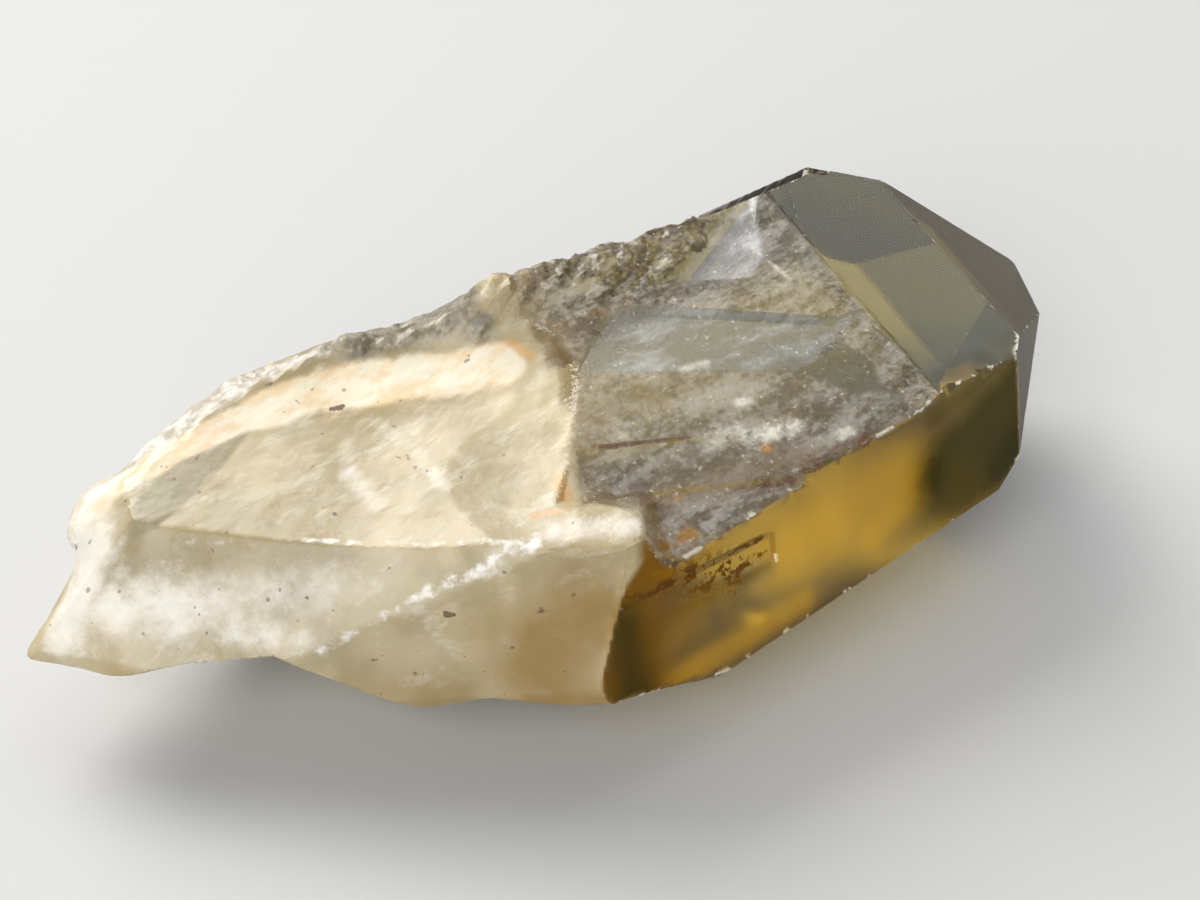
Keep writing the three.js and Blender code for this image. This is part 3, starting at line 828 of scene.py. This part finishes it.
def crystal_skin():
    """The stone's surface as a closed grid: along the crystal by the turn about it, with its points' numbers.

    A ray runs out from a line inside the stone at each row and turn, at a lean that goes from straight back
    at the root's tip to straight ahead at the point. It ends on the surface that the faces, breaks, hollows
    and chips make together. Each cell's point is where the faces at its corners meet, drawn to its
    neighbours' mean where the edge is worn, then moved by the relief along the mean of the faces' ways.
    """
    start, way = rays()
    places, field = hits(start.reshape(-1, 3), way.reshape(-1, 3))
    faces = field.way.reshape(start.shape)
    net = corners(places.reshape(start.shape), faces)
    out = sum(four(faces))
    length = np.linalg.norm(out, axis=-1)
    out /= np.maximum(length, 1e-6)[..., None]
    bend = np.clip((1 - length / 4) * 12, 0, 1)  # 0 on a flat face, 1 where the cell's faces look apart

    zone = shares(field.label.reshape(start.shape[:2]))
    zone.crown = np.maximum(zone.crown, eased(marked(net, SHATTERED) * 1.3 - 0.2))
    net = worn(net, zone)
    net = net + out * relief(net, zone, bend)[..., None]
    return net, colour_numbers(net, zone, bend)


def closed_mesh(name, net, values):
    """A mesh of the grid's points and their numbers, closed at both ends by a fan to the end row's mean."""
    rows, turns = net.shape[:2]
    ends = np.stack([net[0].mean(0), net[-1].mean(0)])
    points = (np.concatenate([net.reshape(-1, 3), ends]) - FOOT) * MM
    number = np.arange(rows * turns).reshape(rows, turns)
    here, there = number, np.roll(number, -1, 1)
    quads = np.stack([here[:-1], there[:-1], there[1:], here[1:]], -1).reshape(-1, 4)
    first = np.stack([np.full(turns, rows * turns), there[0], here[0]], -1)
    last = np.stack([np.full(turns, rows * turns + 1), here[-1], there[-1]], -1)
    mesh = bpy.data.meshes.new(name)
    mesh.from_pydata(points.tolist(), [], quads.tolist() + first.tolist() + last.tolist())
    for key, value in values.items():
        whole = np.concatenate([value.reshape(-1), [value[0].mean(), value[-1].mean()]])
        mesh.attributes.new(key, "FLOAT", "POINT").data.foreach_set("value", whole.astype(np.float32))
    mesh.shade_smooth()
    mesh.set_sharp_from_angle(angle=SHARP_FROM)
    return added(name, mesh)


def added(name, data):
    """A new object of that name and data, in the scene."""
    made = bpy.data.objects.new(name, data)
    bpy.context.scene.collection.objects.link(made)
    return made


# ---------------------------------------------------------------- materials
class Value:
    """An output of a shader node. Sums, differences and products of it add Math nodes."""

    def __init__(self, sheet, socket):
        self.sheet = sheet
        self.socket = socket

    def _math(self, operation, *values):
        return self.sheet.node("ShaderNodeMath", {"operation": operation}, dict(enumerate(values)))

    def __add__(self, other):
        return self._math("ADD", self, other)

    def __radd__(self, other):
        return self._math("ADD", other, self)

    def __sub__(self, other):
        return self._math("SUBTRACT", self, other)

    def __rsub__(self, other):
        return self._math("SUBTRACT", other, self)

    def __mul__(self, other):
        return self._math("MULTIPLY", self, other)

    def __rmul__(self, other):
        return self._math("MULTIPLY", other, self)

    def least(self, other):
        return self._math("MINIMUM", self, other)

    def most(self, other):
        return self._math("MAXIMUM", self, other)

    def ramp(self, low, high):
        """0 at low, 1 at high, eased between."""
        sockets = {"Value": self, "From Min": low, "From Max": high}
        return self.sheet.node("ShaderNodeMapRange", {"interpolation_type": "SMOOTHSTEP"}, sockets)


class Sheet:
    """A material's tree of shader nodes."""

    def __init__(self, name):
        self.material = bpy.data.materials.new(name)
        self.material.use_nodes = True
        self.tree = self.material.node_tree
        self.tree.nodes.clear()

    def node(self, kind, settings=None, sockets=None, output=0):
        """A node of that type: its settings first, then its sockets' values or links. Returns an output."""
        made = self.tree.nodes.new(kind)
        for key, value in (settings or {}).items():
            setattr(made, key, value)
        for key, value in (sockets or {}).items():
            if isinstance(value, Value):
                self.tree.links.new(value.socket, made.inputs[key])
            else:
                made.inputs[key].default_value = value
        return Value(self, made.outputs[output]) if made.outputs else None

    def attribute(self, name):
        """The number that the piece's points carry under that name."""
        return self.node("ShaderNodeAttribute", {"attribute_name": name}, output="Fac")

    def colour(self, share, low, high):
        """Low where the share is 0 and high where it is 1. Each is a Value or a name in COLOURS."""
        low, high = (rgb(*COLOURS[colour]) if isinstance(colour, str) else colour for colour in (low, high))
        return self.node("ShaderNodeMix", {"data_type": "RGBA"}, {"Factor": share, 6: low, 7: high}, output=2)

    def layers(self, base, *laid):
        """The base with each (share, colour) laid over it by its share, in order."""
        for share, colour in laid:
            base = self.colour(share, base, colour)
        return base

    def noise(self, place, size, detail=3.0, rough=0.6):
        """Soft random numbers around 0.5, in lumps of about that size in metres."""
        sockets = {"Vector": place, "Scale": 1 / size, "Detail": detail, "Roughness": rough}
        return self.node("ShaderNodeTexNoise", {}, sockets, output="Fac")


def rgb(red, green, blue):
    return (red, green, blue, 1.0)


# Colours as shares of red, green and blue light: the root's, then the crystal's, then what lies over both.
COLOURS = {
    "cream": (0.42, 0.335, 0.17),
    "light cream": (0.62, 0.52, 0.32),
    "milk": (0.86, 0.80, 0.66),
    "dull cream": (0.40, 0.33, 0.18),
    # The greenish tone, partly painted shade.
    "moss": (0.38, 0.33, 0.20),
    "honey": (0.38, 0.225, 0.045),
    "root crown": (0.58, 0.52, 0.42),
    "root crown grains": (0.93, 0.89, 0.80),
    "far crown": (0.12, 0.10, 0.07),
    "far crown grains": (0.44, 0.40, 0.33),
    "peach": (0.90, 0.70, 0.43),
    "light peach": (0.97, 0.87, 0.68),
    # Milky white, also used for the painted highlights of the basin's wisps.
    "white": (0.97, 0.90, 0.78),
    "khaki": (0.34, 0.29, 0.165),
    "orange": (0.74, 0.44, 0.16),
    # The near white of the painted crease highlights.
    "vein": (0.96, 0.93, 0.86),
    "smoke": (0.15, 0.13, 0.08),
    "front smoke": (0.24, 0.15, 0.025),
    "top smoke": (0.20, 0.215, 0.15),
    # The bright gold of the painted glow on the front face.
    "amber": (0.86, 0.46, 0.02),
    "warm brown": (0.22, 0.10, 0.010),
    "shade": (0.045, 0.036, 0.008),
    # The point's dark smoke: partly its smoky colour, partly painted shade that darkens it.
    "tip smoke and shade": (0.08, 0.058, 0.02),
    "break": (0.12, 0.10, 0.075),
    "break streaks": (0.58, 0.55, 0.49),
    # The band and the silver face: the grey of their broken quartz plus painted reflection of a bright light,
    # bluish on the band and near white on the silver face.
    "band": (0.25, 0.27, 0.27),
    "band sheen streaks": (0.58, 0.60, 0.61),
    "silver": (0.50, 0.50, 0.49),
    "silver reflection streaks": (0.88, 0.88, 0.87),
    "dusk": (0.12, 0.12, 0.085),
    "facet": (0.10, 0.105, 0.08),
    "facet streaks": (0.19, 0.19, 0.155),
    "rust": (0.27, 0.165, 0.08),
    "pocket": (0.32, 0.15, 0.006),
    "ridge": (0.10, 0.075, 0.04),
    "ridge streaks": (0.62, 0.55, 0.43),
    "haze": (0.36, 0.27, 0.14),
    "rusty orange": (0.44, 0.21, 0.04),
    # The white of frosted breaks and chips, also used for the painted glints.
    "frost": (0.90, 0.85, 0.70),
    "stain": (0.13, 0.05, 0.012),
}
IOR = 1.544  # of quartz
# What is left of each colour of light after crossing FULL_DEPTH of the clear crystal.
THROUGH = (0.73, 0.605, 0.23)
FULL_DEPTH = 0.015


def grains(sheet):
    """Random numbers over the stone, from a break's sparkle to broad clouds, and two sets that are streaks.

    The streaks and the facets run along the tears: their places are turned, and their length is shrunk.
    """
    place = sheet.node("ShaderNodeTexCoord", output="Object")
    drawn_out = {"Vector": place, "Rotation": (0.2, -0.25, 0.12), "Scale": (0.38, 1.0, 1.0)}
    torn_out = {"Vector": place, "Rotation": (0.2, -0.45, 0.35), "Scale": (0.3, 1.0, 1.0)}
    cells = {"Vector": sheet.node("ShaderNodeMapping", {}, torn_out), "Scale": 900.0}
    return SimpleNamespace(
        spark=sheet.noise(place, 0.00045, rough=0.65),
        grit=sheet.noise(place, 0.0005),
        dust=sheet.noise(place, 0.0007, 1.0, 0.5),
        fine=sheet.noise(place, 0.0011),
        middle=sheet.noise(place, 0.0035),
        broad=sheet.noise(place, 0.010, rough=0.55),
        streaks=sheet.noise(sheet.node("ShaderNodeMapping", {}, drawn_out), 0.0019, 4.0, 0.7),
        facets=sheet.node("ShaderNodeTexVoronoi", {}, cells, output="Distance"),
    )


def masks(sheet, grain):
    """Where each kind of surface and each mark shows, from 0 to 1.

    Each mask is the number that the points carry, times or plus some of the grain so that its edge is ragged,
    and then eased from 0 at one level to 1 at another.
    """
    spark, grit, fine, middle, streaks = grain.spark, grain.grit, grain.fine, grain.middle, grain.streaks
    number = sheet.attribute
    plain_zones = ("ridge", "rough", "band", "crown", "front", "tip", "top", "silver", "facet")
    at = SimpleNamespace(**{name: number(name) for name in plain_zones})
    at.past = number("from_root")
    ragged = ((middle - 0.5) * 2.4 + (fine - 0.5) * 1.4) * (1 - number("calm") * 0.8)
    at.root = 1 - (at.past + ragged).ramp(-0.6, 0.5)
    at.haze = 1 - (at.past + (middle - 0.5) * 3.0).ramp(0.0, 4.5)
    at.warm = at.front * (1 - at.past.ramp(1.0, 11.0))
    at.broken = (at.rough + at.band).least(1.0)
    at.torn = (at.ridge + number("torn") * 0.8).least(1.0)

    at.white = (number("white") * (fine * 0.9 + streaks * 1.2 + middle * 0.3)).ramp(0.3, 1.2)
    at.orange = (number("orange") * (0.1 + fine * 1.2 + streaks * 0.7)).ramp(0.3, 1.0)
    # The painted crease highlights, broken into dots.
    at.vein = (number("vein") * (fine - 0.3) * 4.0).ramp(0.35, 1.1)
    at.pale = (number("pale") * (0.1 + middle * 0.8 + fine * 0.6 + streaks * 0.5)).ramp(0.34, 0.66)
    at.flat = number("flat") * (0.65 + streaks * 0.4)
    at.honey = (number("honey") * (0.6 + middle * 0.6)).ramp(0.05, 1.0)
    at.green = (number("green") * (0.6 + middle * 0.7)).ramp(0.05, 1.0)
    at.rust = (number("rust") * (0.3 + streaks * 0.8 + fine * 0.4)).ramp(0.2, 1.1)
    # The painted glow on the front face, with a cloudy edge.
    at.amber = (number("amber") * (0.75 + middle * 0.5)).ramp(0.0, 1.0)
    at.pocket = (number("pocket") * (0.1 + fine * 1.8)).ramp(0.3, 0.9)
    at.dusk = (number("dusk") * 0.7).ramp(0.1, 1.0)
    at.shade = (at.front + at.top).least(1.0) * (number("shade") * (0.7 + middle * 0.6)).ramp(0.0, 1.0)
    at.frost = (number("frost") * (fine * 1.3 + spark * 0.7)).ramp(0.45, 1.25)
    # Painted glints: tiny white highlights on the breaks and the ridge.
    at.glint = spark.ramp(0.61, 0.72) * (at.rough + at.band + at.ridge).least(1.0)
    at.scuff = (number("edge") * fine.ramp(0.50, 0.60)).ramp(0.3, 0.9) * (1 - at.rough * 0.6)

    speck = (number("speck") * (0.4 + fine * 0.4 + spark * 0.8)).ramp(0.62, 0.8)
    speck = (speck + grain.dust.ramp(0.735, 0.77) * at.root * 0.7).least(1.0)
    crack = (number("crack") * (0.2 + streaks * 0.7 + grit * 0.7)).ramp(0.45, 1.0)
    stain = number("stain") * (fine * 0.6 + grit * 0.4).ramp(0.44, 0.56)
    at.stain = (stain * 1.1 + speck * 0.8 + crack * 0.8).ramp(0.2, 0.8)
    return at


def root_colour(sheet, grain, at):
    """The root's cream, lighter in clouds and milky in streaks, with its marks laid over it in order."""
    streaks = grain.streaks
    speckle = grain.fine * 0.6 + grain.grit * 0.4
    near_crown = sheet.colour(speckle.ramp(0.4, 0.62), "root crown", "root crown grains")
    far_crown = sheet.colour(speckle.ramp(0.42, 0.64), "far crown", "far crown grains")
    return sheet.layers(
        sheet.colour(grain.broad.ramp(0.38, 0.62), "cream", "light cream"),
        (streaks.ramp(0.5, 0.70) * 0.5, "milk"),
        (grain.middle.ramp(0.52, 0.70) * 0.5, "dull cream"),
        # Greenish, partly painted shade in the root's valley.
        (at.green * 0.8, "moss"),
        (at.honey * 0.9, "honey"),
        (at.crown * 0.8, sheet.colour(at.past.ramp(-14.0, -7.0), near_crown, far_crown)),
        (at.pale, sheet.colour(streaks.ramp(0.4, 0.6), "peach", "light peach")),
        # Milky white, and the painted highlights of the basin's wisps.
        (at.white, "white"),
        (at.flat, "khaki"),
        (at.orange * 0.8, "orange"),
        # Painted highlights along the root's creases, laid last.
        (at.vein, "vein"),
    )


def crystal_colour(sheet, grain, at):
    """The crystal's smoke, its own on each face, with the breaks' streaks and the marks over it in order."""
    streaks = grain.streaks
    broken = (streaks * 0.65 + grain.grit * 0.35).ramp(0.40, 0.61)
    torn = (streaks * 0.6 + grain.grit * 0.4).ramp(0.42, 0.6)
    # Real frost and chipped edges, plus the painted glints, all laid in the frost colour.
    bright = (at.frost * 0.85 + at.glint * 0.5 + at.scuff * (1 - at.front * 0.5)).least(1.0)
    return sheet.layers(
        "smoke",
        (at.front, "front smoke"),
        (at.top, "top smoke"),
        # The painted glow: bright gold laid on the front face where light comes through.
        (at.amber * at.front, "amber"),
        ((at.warm * 1.6).least(1.0), "warm brown"),
        (at.shade, "shade"),
        # The point's smoke, partly painted shade.
        (at.tip, "tip smoke and shade"),
        (at.rough, sheet.colour(broken, "break", "break streaks")),
        # The band's and the silver face's grey, partly painted reflection of a bright light.
        (at.band, sheet.colour(streaks.ramp(0.4, 0.7), "band", "band sheen streaks")),
        (at.silver, sheet.colour(streaks.ramp(0.4, 0.65), "silver", "silver reflection streaks")),
        (at.dusk, "dusk"),
        (at.facet, sheet.colour(streaks.ramp(0.4, 0.65), "facet", "facet streaks")),
        (at.rust * 0.75, "rust"),
        (at.pocket, "pocket"),
        (at.torn, sheet.colour(torn, "ridge", "ridge streaks")),
        (at.haze * (0.7 - at.front * 0.7), "haze"),
        (at.orange, "rusty orange"),
        (bright, "frost"),
    )


def covered(grain, at):
    """How much of the surface is covered: little of the clear faces, more of breaks, marks and the point.

    It is a sum over the kinds of surface, kept between 0.1 and 0.95, plus the marks' shares. The root is 1.
    """
    streaks = grain.streaks
    cover = 0.05 + at.top * 0.3 + at.tip * 0.62 + at.torn * 0.5
    cover = cover + at.rough * (0.25 + streaks * 0.4) + at.band * (0.25 + streaks * 0.6)
    # The painted glow on the front also takes a share of the cover.
    cover = cover + at.front * (0.12 + at.amber * 0.25 + at.warm * 0.75) + at.shade * 0.65
    cover = cover + at.haze * (0.4 - at.front * 0.3)
    cover = (cover - at.dusk * 0.1).least(0.95).most(0.1)
    # The painted glints also take a share of the cover.
    cover = cover + at.frost * 0.5 + at.glint * 0.4 + at.scuff * 0.9
    cover = (cover + at.stain * 0.8 + at.orange * 0.5 + at.pocket * 0.7).least(1.0)
    return cover + at.root * (1 - cover)


def fine_relief(sheet, grain, at):
    """The bump: lumps and grain on the root, streaks and grain on the breaks, small chips on the ridge."""
    height = (grain.middle * 0.3 + grain.fine * 0.2 + grain.grit * 0.12) * at.root
    height = height + grain.streaks * (at.rough + at.band + at.torn * 2) * 0.5
    height = height + grain.facets * (at.torn + at.crown).least(1.0) * 0.35
    height = height + (grain.grit * 0.4 + grain.spark * 0.3) * at.broken
    return sheet.node("ShaderNodeBump", {}, {"Height": height, "Strength": 0.4, "Distance": 0.0005})


def quartz():
    """Clear smoky-golden quartz that turns milky and cream toward the root.

    What is covered is milky, or on the point and the front a dull film without reflection: their smoky
    colour, and painted shade where it darkens them. The rest is clear: light passes through it, bent, and
    loses colour on its way inside.
    """
    sheet = Sheet("citrine")
    grain = grains(sheet)
    at = masks(sheet, grain)
    body = sheet.layers(
        crystal_colour(sheet, grain, at),
        (at.root, root_colour(sheet, grain, at)),
        (at.stain * 0.9, "stain"),
    )
    bump = fine_relief(sheet, grain, at)
    gloss = 0.03 + at.front * 0.26 + at.tip * 0.08
    gloss = gloss + (at.broken + at.torn).least(1.0) * (0.27 + grain.streaks * 0.08)
    sheen = 0.09 + at.front * 0.2 + at.tip * 0.08 + at.torn * 0.1 + at.root * 0.25
    sheen = sheen + at.broken * (0.04 + grain.streaks * 0.14)
    clear = sheet.node("ShaderNodeBsdfPrincipled", {}, {
        "Base Color": rgb(1, 1, 1),
        "Roughness": gloss,
        "IOR": IOR,
        "Transmission Weight": 1.0,
        "Normal": bump,
    })
    milky = sheet.node("ShaderNodeBsdfPrincipled", {}, {
        "Base Color": body,
        "Roughness": sheen,
        "IOR": IOR,
        "Subsurface Weight": 0.35,
        "Subsurface Scale": 0.003,
        "Subsurface Radius": (1.0, 0.8, 0.5),
        "Transmission Weight": 0.25,
        "Normal": bump,
    })
    # A dull film with no reflection on the point and the front: painted shade that keeps pale reflections off
    # them.
    film = sheet.node("ShaderNodeBsdfPrincipled", {}, {
        "Base Color": body,
        "Roughness": 0.8,
        "Specular IOR Level": 0.0,
    })
    cover = sheet.node("ShaderNodeMixShader", {}, {0: (at.front + at.tip).least(1.0), 1: milky, 2: film})
    both = sheet.node("ShaderNodeMixShader", {}, {0: covered(grain, at), 1: clear, 2: cover})
    sheet.node("ShaderNodeOutputMaterial", {}, {"Surface": both, "Volume": golden_depth(sheet)})
    return sheet.material


def golden_depth(sheet):
    """The absorbing inside: each colour loses minus the log of what is left over FULL_DEPTH, per metre.

    The shader loses its density times one less its colour, so the density is a little over the largest loss.
    """
    loss = [-math.log(left) / FULL_DEPTH for left in THROUGH]
    density = max(loss) * 1.02
    colour = rgb(*(1 - lost / density for lost in loss))
    return sheet.node("ShaderNodeVolumeAbsorption", {}, {"Color": colour, "Density": density})


def plain(name, colour, rough):
    """An even matt colour."""
    sheet = Sheet(name)
    body = sheet.node("ShaderNodeBsdfPrincipled", {}, {"Base Color": rgb(*colour), "Roughness": rough})
    sheet.node("ShaderNodeOutputMaterial", {}, {"Surface": body})
    return sheet.material


# ---------------------------------------------------------------- the scene
FLOOR_HALF, FLOOR_LEVEL = 3.0, -0.0001  # metres, the level just under the stone
FLOOR_CORNERS = ((-1, -1), (1, -1), (1, 1), (-1, 1))
FLOOR_COLOUR, FLOOR_ROUGH = (0.54, 0.535, 0.52), 0.8
# Lamps: bearing and height in degrees, distance and size in metres, power in watts, colour.
LAMPS = {
    "key": (96, 43, 0.9, 0.6, 8.5, (1.0, 0.98, 0.95)),
    "above": (35, 67, 1.0, 0.8, 2.4, (1.0, 1.0, 1.0)),
    "fill": (-148, 36, 1.0, 0.7, 7.0, (0.98, 0.99, 1.0)),
}
ROOM_COLOUR, ROOM_STRENGTH = (0.85, 0.9, 1.0, 1.0), 0.3
VIEW_TURN, VIEW_DOWN = math.radians(36), math.radians(40)
VIEW_AWAY, VIEW_NEAREST = 0.18, 0.005  # metres
LENS, SENSOR = 66, 36  # millimetres


def floor_mesh():
    """One large level square."""
    mesh = bpy.data.meshes.new("floor")
    points = [(x * FLOOR_HALF, y * FLOOR_HALF, FLOOR_LEVEL) for x, y in FLOOR_CORNERS]
    mesh.from_pydata(points, [], [(0, 1, 2, 3)])
    mesh.materials.append(plain("floor", FLOOR_COLOUR, FLOOR_ROUGH))
    return mesh


def hang_lamp(name, compass, up, away, size, power, colour):
    """A square soft lamp that looks at the stone from that bearing and height."""
    light = bpy.data.lights.new(name, "AREA")
    light.shape = "SQUARE"
    light.size = size
    light.energy = power
    light.color = colour
    lamp = added(name, light)
    lamp.location = looking(compass, up) * away
    lamp.rotation_euler = (0, math.pi / 2 - math.radians(up), math.radians(compass))


def light_room():
    """An even light from all around."""
    world = bpy.data.worlds.new("room")
    world.use_nodes = True
    background = world.node_tree.nodes["Background"]
    background.inputs["Color"].default_value = ROOM_COLOUR
    background.inputs["Strength"].default_value = ROOM_STRENGTH
    bpy.context.scene.world = world
    bpy.context.scene.view_settings.view_transform = "Standard"


def place_camera():
    """The camera looks down at the origin of the tables, which lies in the middle of the view."""
    camera = added("camera", bpy.data.cameras.new("camera"))
    camera.data.lens = LENS
    camera.data.sensor_width = SENSOR
    camera.data.clip_start = VIEW_NEAREST
    level = math.cos(VIEW_DOWN)
    forward = np.array([math.sin(VIEW_TURN) * level, math.cos(VIEW_TURN) * level, -math.sin(VIEW_DOWN)])
    camera.location = -FOOT * MM - forward * VIEW_AWAY
    camera.rotation_euler = (math.pi / 2 - VIEW_DOWN, 0, -VIEW_TURN)
    bpy.context.scene.camera = camera


crystal = closed_mesh("crystal", *crystal_skin())
crystal.data.materials.append(quartz())
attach(crystal, "root")
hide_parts("citrine_crystal")

floor = added("floor", floor_mesh())
for name, lamp in LAMPS.items():
    hang_lamp(name, *lamp)
light_room()
place_camera()
